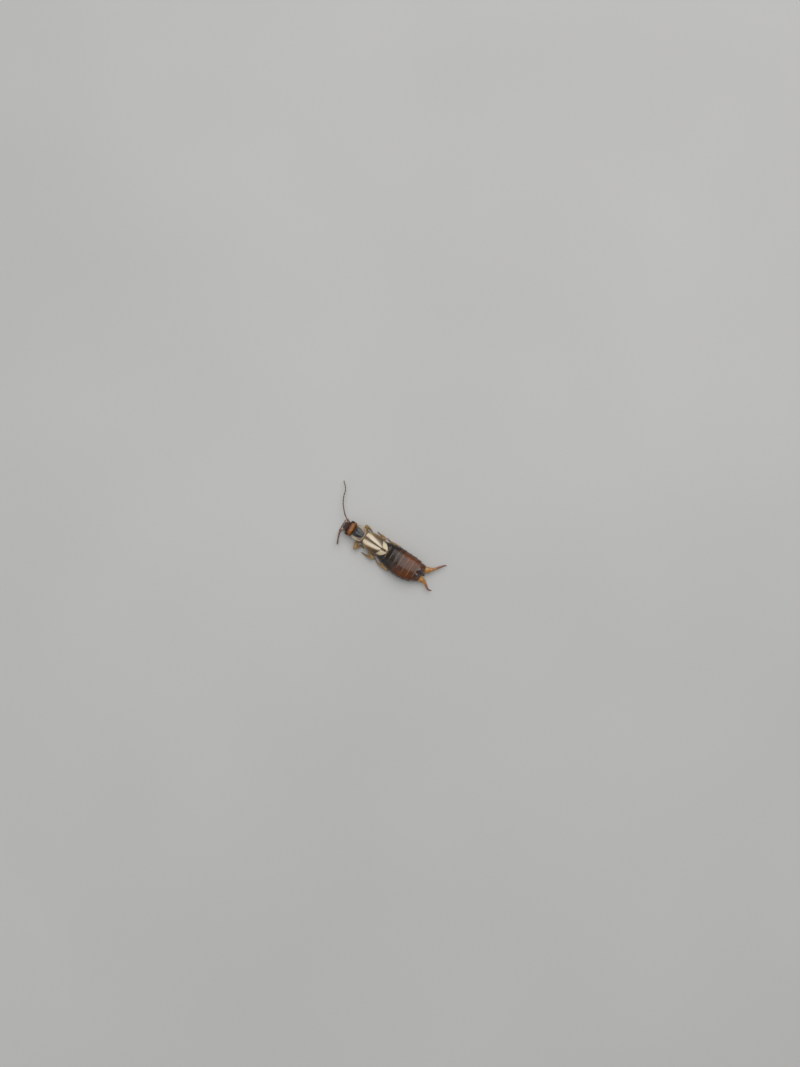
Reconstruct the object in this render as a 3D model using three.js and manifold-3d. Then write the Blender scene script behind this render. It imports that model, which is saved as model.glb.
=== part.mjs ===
import * as THREE from 'three';
import { mergeVertices } from 'three/addons/utils/BufferGeometryUtils.js';
import Module from 'manifold-3d';

// Common earwig, adult female, life size, in millimetres.
// The head points to -Y, the forceps to +Y, the animal's left is +X and up is +Z.
// The origin is on the ground under the middle of the abdomen, which rests flat on z = 0.

const wasm = await Module();
wasm.setup();

// Driving dimensions
const GAP = 0.26;
const EYE_GAP = 0.2;
const HEAD_FRONT = -8.64;
const JAWS_FRONT = -9.06;
const HEAD_REAR = -7.42;
const HEAD_HALF_WIDTH = 1.0;
const HEAD_TOP = 1.45;
const HEAD_BASE = 0.5;
const PRONOTUM_FRONT = -7.2;
const PRONOTUM_REAR = -5.76;
const PRONOTUM_HALF_WIDTH = 1.04;
const PRONOTUM_TOP = 1.74;
const PRONOTUM_REAR_BOW = 0.42;
const PRONOTUM_SIDE_DROP = 0.3;
const TEGMEN_FRONT = -5.6;
const TEGMEN_REAR_INNER = -2.92;
const TEGMEN_REAR_OUTER = -3.5;
const TEGMEN_TOP = 2.02;
const TEGMEN_SIDE_FOLD = 0.42;
const WING_TIP_REAR = -2.15;
const WING_TIP_GAP = 0.36;
const WING_TIP_TOP = 1.96;
const WING_TIP_HALF_WIDTH = 1.1;
const THORAX_FRONT = -7.12;
const THORAX_REAR = -3.15;
const ABDOMEN_FRONT = -2.9;
const LAST_TERGITE_FRONT = 2.34;
const LAST_TERGITE_REAR = 3.2;
const PLATE_THICKNESS = 0.46;
const PLATE_STEP = 0.07;
const TERGITE_EDGES = [-2.1, -1.45, -0.73, -0.04, 0.79, 1.58, LAST_TERGITE_FRONT - GAP];
const FEELER_BASE_RADIUS = 0.25;
const FEELER_TIP_RADIUS = 0.15;
const FEELER_SEGMENTS = 14;
const FEMUR_RADIUS = 0.27;
const TIBIA_RADIUS = 0.24;
const TARSUS_RADIUS = 0.21;

// Colours of the parts
const CHESTNUT = 0x8a4a1c;
const BLACK_BROWN = 0x2a1a14;
const STRAW = 0xb9a06a;
const CREAM = 0xe6d9b4;
const MAHOGANY = 0x4a1c10;
const OCHRE = 0x9a6f32;
const AMBER = 0xa8641e;
const EYE_BLACK = 0x14100e;

// A smooth curve through [place, value] pairs, without overshoot
function profile(pairs) {
  const slope = (i) => (pairs[i + 1][1] - pairs[i][1]) / (pairs[i + 1][0] - pairs[i][0]);
  const last = pairs.length - 1;
  const tangents = pairs.map((pair, i) => {
    if (i === 0) return slope(0);
    if (i === last) return slope(last - 1);
    const before = slope(i - 1);
    const after = slope(i);
    return before * after <= 0 ? 0 : 2 * before * after / (before + after);
  });
  return (place) => {
    const s = THREE.MathUtils.clamp(place, pairs[0][0], pairs[last][0]);
    let i = 0;
    while (i < last - 1 && s > pairs[i + 1][0]) i += 1;
    const width = pairs[i + 1][0] - pairs[i][0];
    const t = (s - pairs[i][0]) / width;
    const rise = tangents[i] * width * t * (1 - t) ** 2;
    const fall = tangents[i + 1] * width * t * t * (t - 1);
    const ease = t * t * (3 - 2 * t);
    return pairs[i][1] * (1 - ease) + pairs[i + 1][1] * ease + rise + fall;
  };
}

// The body bows a little to the animal's left between the head and the forceps
const spineX = profile([[-8.8, -0.13], [-6.5, -0.18], [-4.4, -0.08], [-1.4, 0.06], [0.4, 0.2],
  [1.9, 0.11], [3.2, -0.09]]);

// Turns a closed geometry into a solid: shared vertices merged and slivers without area dropped
function toSolid(geometry) {
  const bare = geometry.index ? geometry.toNonIndexed() : geometry.clone();
  bare.deleteAttribute('normal');
  bare.deleteAttribute('uv');
  const merged = mergeVertices(bare, 1e-5);
  const index = [];
  for (let i = 0; i < merged.index.count; i += 3) {
    const [a, b, c] = [0, 1, 2].map((k) => merged.index.getX(i + k));
    if (a !== b && b !== c && c !== a) index.push(a, b, c);
  }
  const mesh = new wasm.Mesh({
    numProp: 3,
    vertProperties: new Float32Array(merged.attributes.position.array),
    triVerts: new Uint32Array(index),
  });
  return new wasm.Manifold(mesh);
}

// The largest closed surface of a solid, as a geometry
function toGeometry(solid) {
  const pieces = solid.decompose();
  pieces.sort((a, b) => b.volume() - a.volume());
  const mesh = pieces[0].getMesh();
  const geometry = new THREE.BufferGeometry();
  const positions = new Float32Array(mesh.vertProperties);
  geometry.setAttribute('position', new THREE.BufferAttribute(positions, 3));
  geometry.setIndex(new THREE.BufferAttribute(new Uint32Array(mesh.triVerts), 1));
  return geometry;
}

const join = (solids) => solids.reduce((sum, solid) => sum.add(solid));
const cut = (solid, tools) => tools.reduce((rest, tool) => rest.subtract(tool), solid);

// A closed solid between an upper and a lower grid of points with the same rows
function shell(upper, lower) {
  const corners = [];
  const quad = (a, b, c, d) => corners.push(a, b, c, a, c, d);
  const rows = upper.length - 1;
  const columns = upper[0].length - 1;
  for (let i = 0; i < rows; i += 1) {
    for (let j = 0; j < columns; j += 1) {
      quad(upper[i][j], upper[i][j + 1], upper[i + 1][j + 1], upper[i + 1][j]);
      quad(lower[i][j], lower[i + 1][j], lower[i + 1][j + 1], lower[i][j + 1]);
    }
    quad(upper[i][0], upper[i + 1][0], lower[i + 1][0], lower[i][0]);
    quad(upper[i][columns], lower[i][columns], lower[i + 1][columns], upper[i + 1][columns]);
  }
  for (let j = 0; j < columns; j += 1) {
    quad(upper[0][j], lower[0][j], lower[0][j + 1], upper[0][j + 1]);
    quad(upper[rows][j], upper[rows][j + 1], lower[rows][j + 1], lower[rows][j]);
  }
  return toSolid(new THREE.BufferGeometry().setFromPoints(corners));
}

// A body length: sections across Y, each a squared ellipse from its widest height up and down
function bodyLength(shape) {
  const { stations, half, top, base, waist } = shape;
  const { square = 2.2, lowSquare = 3, points = 10, grow = 0 } = shape;
  const upper = [];
  const lower = [];
  const places = [...stations];
  places[0] -= grow;
  places[places.length - 1] += grow;
  for (const [k, y] of places.entries()) {
    const at = stations[k];
    const middle = waist(at);
    const upperRow = [];
    const lowerRow = [];
    for (let j = 0; j <= points; j += 1) {
      const angle = Math.PI * j / points;
      const c = -Math.cos(angle);
      const s = Math.max(Math.sin(angle), 0);
      const round = (exponent) => Math.sign(c) * Math.abs(c) ** (2 / exponent);
      const x = spineX(y) + (half(at) + grow) * round(square);
      const lowX = spineX(y) + (half(at) + grow) * round(lowSquare);
      const endsMeet = j === 0 || j === points;
      const rise = endsMeet ? 0 : s ** (2 / square);
      const drop = endsMeet ? 0 : s ** (2 / lowSquare);
      upperRow.push(new THREE.Vector3(x, y, middle + (top(at) - middle + grow) * rise));
      lowerRow.push(new THREE.Vector3(lowX, y, middle - (middle - base(at) + grow) * drop));
    }
    upper.push(upperRow);
    lower.push(lowerRow);
  }
  return shell(upper, lower);
}

// A curved plate of even thickness under the surface point(u, v), u across and v along
function plate({ point, across, along }) {
  const small = 1e-3;
  const upper = [];
  const lower = [];
  for (let i = 0; i <= along; i += 1) {
    const v = i / along;
    upper.push([]);
    lower.push([]);
    for (let j = 0; j <= across; j += 1) {
      const u = j / across;
      const here = point(u, v);
      const alongU = point(u + small, v).sub(point(u - small, v));
      const alongV = point(u, v + small).sub(point(u, v - small));
      const normal = alongU.cross(alongV).normalize();
      upper[i].push(here);
      lower[i].push(here.clone().addScaledVector(normal, -PLATE_THICKNESS));
    }
  }
  return shell(upper, lower);
}

function smoothCurve(places) {
  const path = places.map((place) => new THREE.Vector3(...place));
  return new THREE.CatmullRomCurve3(path, false, 'centripetal');
}

// A round or oval rod along a curve, wide(t) across and high(t) the other way
function rod({ curve, steps, wide, high = wide, reference, sides = 8, startLower = 0 }) {
  const rings = [];
  for (let i = 0; i <= steps; i += 1) {
    const t = i / steps;
    const centre = curve.getPointAt(t);
    const forward = curve.getTangentAt(t);
    if (i === 0) centre.addScaledVector(forward, -startLower);
    const up = reference.clone().addScaledVector(forward, -reference.dot(forward)).normalize();
    const side = new THREE.Vector3().crossVectors(up, forward);
    const ring = [];
    for (let j = 0; j < sides; j += 1) {
      const angle = 2 * Math.PI * j / sides;
      ring.push(centre.clone().addScaledVector(side, wide(t) * Math.cos(angle))
        .addScaledVector(up, high(t) * Math.sin(angle)));
    }
    rings.push({ centre, ring });
  }
  const corners = [];
  for (let j = 0; j < sides; j += 1) {
    const next = (j + 1) % sides;
    for (let i = 0; i < steps; i += 1) {
      const [a, b] = [rings[i].ring, rings[i + 1].ring];
      corners.push(a[j], b[next], b[j], a[j], a[next], b[next]);
    }
    corners.push(rings[0].centre, rings[0].ring[next], rings[0].ring[j]);
    corners.push(rings[steps].centre, rings[steps].ring[j], rings[steps].ring[next]);
  }
  return toSolid(new THREE.BufferGeometry().setFromPoints(corners));
}

// A tapered limb segment with round ends, from one point to another
function segment(from, to, startRadius, endRadius, sides = 8) {
  const start = new THREE.Vector3(...from);
  const axis = new THREE.Vector3(...to).sub(start);
  const length = axis.length();
  const outline = [];
  for (const k of [0, 1, 2]) {
    const angle = Math.PI / 4 * k;
    outline.push(new THREE.Vector2(startRadius * Math.sin(angle), -startRadius * Math.cos(angle)));
  }
  for (const k of [2, 3, 4]) {
    const angle = Math.PI / 4 * k;
    const across = k === 4 ? 0 : endRadius * Math.sin(angle);
    outline.push(new THREE.Vector2(across, length - endRadius * Math.cos(angle)));
  }
  const geometry = new THREE.LatheGeometry(outline, sides);
  const up = new THREE.Vector3(0, 1, 0);
  geometry.applyQuaternion(new THREE.Quaternion().setFromUnitVectors(up, axis.normalize()));
  geometry.translate(start.x, start.y, start.z);
  return toSolid(geometry);
}

function ball(centre, radii, columns = 12, rows = 8, grow = 0) {
  const geometry = new THREE.SphereGeometry(1, columns, rows);
  geometry.scale(radii[0] + grow, radii[1] + grow, radii[2] + grow);
  geometry.translate(...centre);
  return toSolid(geometry);
}

function block(low, high) {
  const geometry = new THREE.BoxGeometry(high[0] - low[0], high[1] - low[1], high[2] - low[2]);
  geometry.translate((low[0] + high[0]) / 2, (low[1] + high[1]) / 2, (low[2] + high[2]) / 2);
  return toSolid(geometry);
}

const underGround = block([-20, -20, -5], [20, 20, 0]);
const steps = (from, to, count) => (
  Array.from({ length: count + 1 }, (_, i) => from + (to - from) * i / count)
);

// Pronotum: a nearly square shield with a rounded rear edge and thin, slightly raised side margins
function pronotumPlate() {
  const width = profile([[0, 0.88], [0.3, 1], [0.75, 1], [1, 0.9]]);
  const point = (u, v) => {
    const side = 2 * u - 1;
    const rear = PRONOTUM_REAR - PRONOTUM_REAR_BOW * Math.abs(side) ** 3.5;
    const y = THREE.MathUtils.lerp(PRONOTUM_FRONT, rear, v);
    const x = spineX(y) + side * PRONOTUM_HALF_WIDTH * width(v);
    const crown = PRONOTUM_TOP - 0.16 * (v - 0.45) ** 2 * 4 * (1 - side * side);
    return new THREE.Vector3(x, y, crown - PRONOTUM_SIDE_DROP * side ** 2 + 0.1 * side ** 6);
  };
  return plate({ point, across: 12, along: 8 });
}

// Tegmina: short leathery wing covers, bent down along their outer margins
function tegmenPlate(side) {
  const outer = profile([[0, 1.1], [0.25, 1.24], [0.7, 1.26], [1, 1.2]]);
  const inner = GAP / 2;
  const point = (u, v) => {
    const front = TEGMEN_FRONT + 0.3 * Math.max(u, 0) ** 4;
    const rear = THREE.MathUtils.lerp(TEGMEN_REAR_INNER, TEGMEN_REAR_OUTER, u);
    const y = THREE.MathUtils.lerp(front, rear, v);
    const x = spineX(y) + side * (inner + (outer(v) - inner) * u);
    const crown = TEGMEN_TOP - 0.28 * (1 - Math.min(v * 2.2, 1)) ** 2;
    return new THREE.Vector3(x, y, crown - 0.1 * u * u - TEGMEN_SIDE_FOLD * Math.max(u, 0) ** 5);
  };
  const mirrored = (u, v) => point(1 - u, v);
  return plate({ point: side > 0 ? point : mirrored, across: 8, along: 8 });
}

// Folded hindwing tips: two short cream lobes behind the wing covers
function wingTipPlate(side) {
  const inner = GAP / 2;
  const point = (u, v) => {
    const front = THREE.MathUtils.lerp(TEGMEN_REAR_INNER, TEGMEN_REAR_OUTER, 0.9 * u) + WING_TIP_GAP;
    const rear = WING_TIP_REAR - 0.62 * Math.max(u, 0) ** 1.6;
    const y = THREE.MathUtils.lerp(front, rear, v);
    const outer = WING_TIP_HALF_WIDTH - 0.16 * v;
    const x = spineX(y) - 0.04 + side * (inner + (outer - inner) * u);
    return new THREE.Vector3(x, y, WING_TIP_TOP - 0.06 * v * v - 0.28 * u * u);
  };
  const mirrored = (u, v) => point(1 - u, v);
  return plate({ point: side > 0 ? point : mirrored, across: 6, along: 4 });
}

// Head capsule: flattened, widest behind the eyes, rounded rear corners, sloping front
function headCapsule(grow = 0) {
  const half = profile([[HEAD_FRONT, 0.44], [-8.5, 0.66], [-8.25, 0.88], [-7.95, HEAD_HALF_WIDTH],
    [-7.65, 0.94], [HEAD_REAR, 0.62]]);
  const top = profile([[HEAD_FRONT, 1.14], [-8.45, 1.3], [-8.0, HEAD_TOP], [-7.7, 1.42],
    [HEAD_REAR, 1.22]]);
  const base = profile([[HEAD_FRONT, 0.98], [-8.4, 0.84], [-8.0, 0.56], [-7.7, HEAD_BASE],
    [HEAD_REAR, 0.64]]);
  const waist = profile([[HEAD_FRONT, 1.06], [-8.1, 0.96], [HEAD_REAR, 0.92]]);
  return bodyLength({ stations: steps(HEAD_FRONT, HEAD_REAR, 7), half, top, base, waist, grow });
}

const EYES = { across: 0.8, along: -8.08, height: 1.08, radii: [0.24, 0.3, 0.26] };
function eyeBall(side, grow = 0) {
  return ball([spineX(EYES.along) + side * EYES.across, EYES.along, EYES.height], EYES.radii, 12, 8, grow);
}

// Mouthparts: the labrum over the jaws, with a jointed palp at each side
function mouthparts() {
  const rear = -8.12;
  const half = profile([[JAWS_FRONT, 0.26], [-8.85, 0.42], [-8.5, 0.46], [rear, 0.4]]);
  const top = profile([[JAWS_FRONT, 0.66], [-8.85, 0.82], [rear, 0.8]]);
  const base = profile([[JAWS_FRONT, 0.4], [-8.8, 0.26], [rear, 0.2]]);
  const stations = steps(JAWS_FRONT, rear, 5);
  const jaws = bodyLength({ stations, half, top, base, waist: () => 0.5, points: 8 });
  const palps = [-1, 1].map((side) => {
    const root = spineX(-8.5) + side * 0.3;
    const knee = [root + side * 0.42, -8.5, 0.42];
    return join([
      segment([root, -8.4, 0.42], knee, 0.2, 0.19, 6),
      segment(knee, [root + side * 0.38, -8.8, 0.46], 0.16, 0.11, 6),
    ]);
  });
  return cut(join([jaws, ...palps]), [headCapsule(GAP)]);
}

// Feelers: a long first segment, a short second one and a thread of beads
function feeler(path, reference, sides = 6) {
  const curve = smoothCurve(path);
  const perSegment = 2;
  const wide = (t) => {
    const betweenBeads = Math.round(t * FEELER_SEGMENTS * perSegment) % perSegment === 0;
    const taper = THREE.MathUtils.lerp(FEELER_BASE_RADIUS, FEELER_TIP_RADIUS, t ** 1.3);
    return taper * (t === 1 ? 0.5 : betweenBeads ? 0.86 : 1);
  };
  return rod({ curve, steps: FEELER_SEGMENTS * perSegment, wide, reference, sides });
}

const RIGHT_FEELER = [[-0.62, -8.55, 1.02], [-0.95, -9.1, 1.12], [-1.25, -9.55, 1.16], [-1.58, -9.9, 1.12],
  [-2.38, -10.6, 1.0], [-3.3, -11.09, 0.86], [-4.22, -11.42, 0.76], [-5.06, -12.24, 0.62]];
const LEFT_FEELER = [[0.36, -8.66, 1.04], [0.78, -8.86, 1.2], [1.5, -8.74, 1.36], [2.2, -8.5, 1.3],
  [2.52, -8.38, 0.92], [2.25, -8.5, 0.48], [1.65, -8.86, 0.34], [0.9, -9.26, 0.3], [0.1, -9.44, 0.28],
  [-0.75, -9.46, 0.26]];

// Legs: femur, tibia and tarsus, folded against the body. Feet end on the ground.
const LEGS = {
  leg_front_left: [[0.66, -6.46, 0.5], [1.84, -6.14, 0.8], [0.98, -5.68, 0.36], [1.12, -5.24, 0.17]],
  leg_front_right: [[-0.84, -6.1, 0.44], [-1.62, -6.4, 0.72], [-1.44, -5.64, 0.36], [-1.26, -5.14, 0.17]],
  leg_mid_left: [[0.86, -4.48, 0.5], [1.68, -3.36, 0.82], [1.76, -4.46, 0.36], [1.74, -5.04, 0.17]],
  leg_mid_right: [[-0.94, -4.4, 0.5], [-1.48, -3.34, 0.78], [-1.62, -4.22, 0.34], [-1.72, -4.74, 0.17]],
  leg_hind_left: [[0.82, -3.22, 0.45], [1.92, -0.95, 0.7], [1.82, -2.5, 0.4], [1.46, -3.2, 0.17]],
  leg_hind_right: [[-0.92, -3.2, 0.45], [-1.56, -1.12, 0.6], [-1.52, -2.5, 0.26], [-1.68, -3.16, 0.17]],
};

function leg(name, grow = 0) {
  const [hip, knee, ankle, toe] = LEGS[name];
  return join([
    segment(hip, knee, FEMUR_RADIUS + grow, FEMUR_RADIUS + grow),
    segment(knee, ankle, TIBIA_RADIUS + grow, TIBIA_RADIUS + grow),
    segment(ankle, toe, TARSUS_RADIUS + grow, TARSUS_RADIUS * 0.94 + grow),
  ]);
}

// Forceps: broad flattened bases that narrow to slender, slightly bowed blades
const FORCEPS = {
  forceps_left: [[0.5, 3.02, 0.74], [0.56, 3.5, 0.7], [0.62, 4.0, 0.66], [0.86, 4.4, 0.62],
    [1.1, 4.75, 0.6], [1.18, 5.1, 0.62], [1.04, 5.44, 0.66]],
  forceps_right: [[-0.78, 3.02, 0.74], [-0.94, 3.5, 0.7], [-1.25, 3.9, 0.66], [-1.62, 4.3, 0.62],
    [-2.2, 4.75, 0.6], [-2.62, 5.1, 0.62], [-2.78, 5.42, 0.66]],
};

function forceps(name, grow = 0) {
  const curve = smoothCurve(FORCEPS[name]);
  const wide = profile([[0, 0.34], [0.2, 0.38], [0.42, 0.26], [0.7, 0.22], [0.9, 0.16], [1, 0.06]]);
  const high = profile([[0, 0.28], [0.4, 0.26], [0.7, 0.22], [0.9, 0.15], [1, 0.05]]);
  const up = new THREE.Vector3(0, 0, 1);
  const shape = { wide: (t) => wide(t) + grow, high: (t) => high(t) + grow, startLower: grow };
  return rod({ curve, steps: 14, reference: up, ...shape });
}

// Thorax: the body under the shield and the wing covers
function thorax() {
  const half = profile([[THORAX_FRONT, 0.5], [-6.7, 0.74], [-5, 0.94], [THORAX_REAR, 0.98]]);
  const top = profile([[THORAX_FRONT, 0.86], [-5.9, 0.86], [-5.4, 0.94], [-4.2, 1.1], [THORAX_REAR, 1.0]]);
  const base = profile([[THORAX_FRONT, 0.62], [-6.6, 0.34], [-5, 0.2], [THORAX_REAR, 0.14]]);
  const stations = steps(THORAX_FRONT, THORAX_REAR, 8);
  return bodyLength({ stations, half, top, base, waist: () => 0.66 });
}

// Abdomen: tergites that overlap rearwards, each rear edge standing over the next plate
function plateStations(front, edges) {
  const stations = [];
  let start = front;
  for (const edge of edges) {
    stations.push(start + 0.02, (start + edge) / 2, edge);
    start = edge;
  }
  return stations;
}

function stepAt(y, front, edges) {
  const k = edges.findIndex((edge) => y <= edge + 1e-6);
  const start = k > 0 ? edges[k - 1] : front;
  return PLATE_STEP * (y - start) / (edges[k] - start);
}

function abdomen() {
  const half = profile([[ABDOMEN_FRONT, 1.16], [-2.1, 1.42], [-1.45, 1.56], [-0.13, 1.76], [1.0, 1.74],
    [1.85, 1.6], [2.4, 1.46]]);
  const top = profile([[ABDOMEN_FRONT, 1.1], [-2.1, 1.18], [-1.7, 1.62], [-1.2, 1.88], [0.2, 2.06],
    [1.2, 2.0], [2.3, 1.74]]);
  const base = profile([[ABDOMEN_FRONT, 0.06], [-2.4, -0.08], [1.7, -0.08], [2.2, 0.16]]);
  const raised = (value) => (y) => value(y) + stepAt(y, ABDOMEN_FRONT, TERGITE_EDGES);
  const waist = profile([[ABDOMEN_FRONT, 0.6], [-1.4, 0.85]]);
  return bodyLength({ stations: plateStations(ABDOMEN_FRONT, TERGITE_EDGES), half: raised(half),
    top: raised(top), base, waist, square: 2.1, lowSquare: 3.2, points: 14 });
}

// Last tergite: a broad plate with two swellings over the forceps and the small pygidium between them
function lastTergite() {
  const half = profile([[LAST_TERGITE_FRONT, 1.44], [2.8, 1.3], [3.05, 1.2], [LAST_TERGITE_REAR, 1.1]]);
  const top = profile([[LAST_TERGITE_FRONT, 1.76], [2.9, 1.5], [LAST_TERGITE_REAR, 1.24]]);
  const base = profile([[LAST_TERGITE_FRONT, 0.14], [2.9, 0.3], [LAST_TERGITE_REAR, 0.5]]);
  const stations = steps(LAST_TERGITE_FRONT, LAST_TERGITE_REAR, 5);
  const body = bodyLength({ stations, half, top, base, waist: () => 0.8, points: 12 });
  const swellings = [-1, 1].map((side) => (
    ball([spineX(2.9) + side * 0.38, 2.78, 1.34], [0.3, 0.36, 0.3], 10, 6)
  ));
  const pygidium = ball([-0.13, 3.3, 0.84], [0.14, 0.28, 0.22], 8, 6);
  return join([body, ...swellings, pygidium]);
}

const material = (color, roughness) => new THREE.MeshStandardMaterial({ color, roughness, metalness: 0 });

const earwig = new THREE.Group();
function add(name, solid, finish) {
  const mesh = new THREE.Mesh(toGeometry(solid), finish);
  mesh.name = name;
  earwig.add(mesh);
}

const sides = { left: 1, right: -1 };
const legNames = Object.keys(LEGS);
const forcepsNames = Object.keys(FORCEPS);
const grownLegs = legNames.map((name) => leg(name, GAP));
const grownForceps = forcepsNames.map((name) => forceps(name, GAP));

const eyeSockets = Object.values(sides).map((side) => eyeBall(side, EYE_GAP));
add('head', cut(headCapsule(), eyeSockets), material(CHESTNUT, 0.35));
add('mouthparts', mouthparts(), material(CHESTNUT, 0.4));
add('pronotum', pronotumPlate(), material(BLACK_BROWN, 0.3));
add('thorax', cut(thorax(), grownLegs), material(OCHRE, 0.5));
for (const [name, side] of Object.entries(sides)) {
  add(`eye_${name}`, eyeBall(side), material(EYE_BLACK, 0.2));
  add(`tegmen_${name}`, tegmenPlate(side), material(STRAW, 0.35));
  add(`wing_tip_${name}`, wingTipPlate(side), material(CREAM, 0.45));
}
const upward = new THREE.Vector3(0, 0, 1);
const headward = new THREE.Vector3(0.3, -1, 0).normalize();
add('antenna_right', cut(feeler(RIGHT_FEELER, upward), [headCapsule(GAP)]), material(OCHRE, 0.5));
add('antenna_left', cut(feeler(LEFT_FEELER, headward), [headCapsule(GAP)]), material(OCHRE, 0.5));
add('abdomen', cut(abdomen(), [...grownLegs, underGround]), material(MAHOGANY, 0.25));
add('last_tergite', cut(lastTergite(), grownForceps), material(MAHOGANY, 0.25));
for (const name of forcepsNames) add(name, forceps(name), material(AMBER, 0.3));
for (const name of legNames) add(name, cut(leg(name), [underGround]), material(OCHRE, 0.45));

export default earwig;
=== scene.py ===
import math

import bmesh
import bpy
from mathutils import Matrix, Vector


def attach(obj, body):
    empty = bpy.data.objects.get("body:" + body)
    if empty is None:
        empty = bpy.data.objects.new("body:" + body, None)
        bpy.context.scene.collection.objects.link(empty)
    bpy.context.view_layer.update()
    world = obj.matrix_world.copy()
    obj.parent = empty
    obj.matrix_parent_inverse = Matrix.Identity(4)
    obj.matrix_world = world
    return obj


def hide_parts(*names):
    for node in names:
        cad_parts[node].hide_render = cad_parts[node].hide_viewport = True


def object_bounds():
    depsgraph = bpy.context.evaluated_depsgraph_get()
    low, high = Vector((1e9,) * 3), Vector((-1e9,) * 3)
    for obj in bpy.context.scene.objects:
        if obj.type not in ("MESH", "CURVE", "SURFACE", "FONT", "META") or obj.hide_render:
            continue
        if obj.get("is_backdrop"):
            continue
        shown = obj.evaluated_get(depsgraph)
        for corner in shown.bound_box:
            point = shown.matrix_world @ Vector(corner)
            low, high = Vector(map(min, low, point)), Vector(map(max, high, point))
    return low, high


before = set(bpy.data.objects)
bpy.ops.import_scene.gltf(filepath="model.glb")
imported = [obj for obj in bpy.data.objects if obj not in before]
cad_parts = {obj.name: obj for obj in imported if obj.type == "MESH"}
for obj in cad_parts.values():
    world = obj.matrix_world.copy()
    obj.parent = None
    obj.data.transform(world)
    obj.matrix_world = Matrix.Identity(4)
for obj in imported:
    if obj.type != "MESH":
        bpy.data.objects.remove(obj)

cad_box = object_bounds()

# Common earwig, adult female. Sizes below are in millimetres and become metres in each mesh.
# The head points to -Y, the forceps to +Y, the animal's left is +X.
MM = 0.001
UP = Vector((0, 0, 1))
SIDES = (("left", 1), ("right", -1))

HEAD_FRONT = -8.7
HEAD_REAR = -7.3
NECK = -7.7
SKIN_REAR = 2.9
EYE_PLACE = (0.8, -8.07, 1.06)
EYE_RADII = Vector((0.22, 0.29, 0.24))
EYE_FACET = 0.0135
SOCKET_PLACE = (0.52, -8.5, 1.0)
SOCKET_RADIUS = 0.15

PRONOTUM_FRONT = -7.42
PRONOTUM_REAR = -5.76
PRONOTUM_HALF_WIDTH = 1.04
PRONOTUM_CROWN = 1.7
PRONOTUM_THICK = 0.09
TEGMEN_FRONT = -5.72
TEGMEN_REAR_INNER = -2.92
TEGMEN_REAR_OUTER = -3.5
TEGMEN_CROWN = 2.0
TEGMEN_THICK = 0.07
WING_TIP_REAR = -2.15
WING_TIP_HALF_WIDTH = 1.05
WING_TIP_CROWN = 1.93
WING_TIP_THICK = 0.055

ABDOMEN_FRONT = -2.9
TERGITE_EDGES = [-2.1, -1.45, -0.73, -0.04, 0.79, 1.58, 2.3]
GLAND_TERGITES = (2, 3)
PLATE_STEP = 0.07
BACK_HALF_TURN = math.radians(104)
BELLY_HALF_TURN = math.radians(84)
BELLY_SHIFT = 0.12
LAST_TERGITE_FRONT = 2.1
LAST_TERGITE_REAR = 3.22
HAIR_THICK = 0.006


# Smooth curves and lists of places

def profile(pairs):
    """A smooth curve through (place, value) pairs, without overshoot."""
    last = len(pairs) - 1
    slopes = [(b[1] - a[1]) / (b[0] - a[0]) for a, b in zip(pairs, pairs[1:])]
    tangents = [slopes[0]]
    for before, after in zip(slopes, slopes[1:]):
        tangents.append(0 if before * after <= 0 else 2 * before * after / (before + after))
    tangents.append(slopes[-1])

    def value(place):
        s = clamp(place, pairs[0][0], pairs[last][0])
        i = 0
        while i < last - 1 and s > pairs[i + 1][0]:
            i += 1
        width = pairs[i + 1][0] - pairs[i][0]
        t = (s - pairs[i][0]) / width
        ease = t * t * (3 - 2 * t)
        bend = tangents[i] * t * (1 - t) ** 2 + tangents[i + 1] * t * t * (t - 1)
        return pairs[i][1] * (1 - ease) + pairs[i + 1][1] * ease + width * bend

    return value


def clamp(value, low=0.0, high=1.0):
    return min(max(value, low), high)


def mix(a, b, t):
    return a + (b - a) * t


def bump(distance, width):
    """A soft bell: one at distance 0, nearly nothing past twice the width."""
    return math.exp(-(distance / width) ** 2)


def spaced(start, end, count):
    return [mix(start, end, i / count) for i in range(count + 1)]


def crowded(count):
    """Places from 0 to 1 that lie closer together towards both ends."""
    return [0.5 - 0.5 * math.cos(math.pi * i / count) for i in range(count + 1)]


def smooth_path(points, count):
    """Evenly spaced (place, direction) pairs on a smooth curve through the points."""
    steps = 24
    knots = [Vector(p) for p in points]
    knots = [2 * knots[0] - knots[1], *knots, 2 * knots[-1] - knots[-2]]
    fine = []
    for i in range(1, len(knots) - 2):
        p0, p1, p2, p3 = knots[i - 1:i + 3]
        for k in range(steps):
            t = k / steps
            bend = (2 * p0 - 5 * p1 + 4 * p2 - p3) * t * t + (3 * p1 - p0 - 3 * p2 + p3) * t ** 3
            fine.append(0.5 * (2 * p1 + (p2 - p0) * t + bend))
    fine.append(knots[-2])
    reach = [0.0]
    for a, b in zip(fine, fine[1:]):
        reach.append(reach[-1] + (b - a).length)
    places = []
    i = 0
    for k in range(count + 1):
        goal = reach[-1] * k / count
        while i < len(fine) - 2 and reach[i + 1] < goal:
            i += 1
        t = (goal - reach[i]) / (reach[i + 1] - reach[i])
        places.append(fine[i].lerp(fine[i + 1], t))
    return [(place, (places[min(k + 1, count)] - places[max(k - 1, 0)]).normalized())
            for k, place in enumerate(places)]


spine_x = profile([(-8.8, -0.13), (-6.5, -0.18), (-4.4, -0.08), (-1.4, 0.06), (0.4, 0.2), (1.9, 0.11),
                   (3.2, -0.09)])


# Meshes

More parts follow.
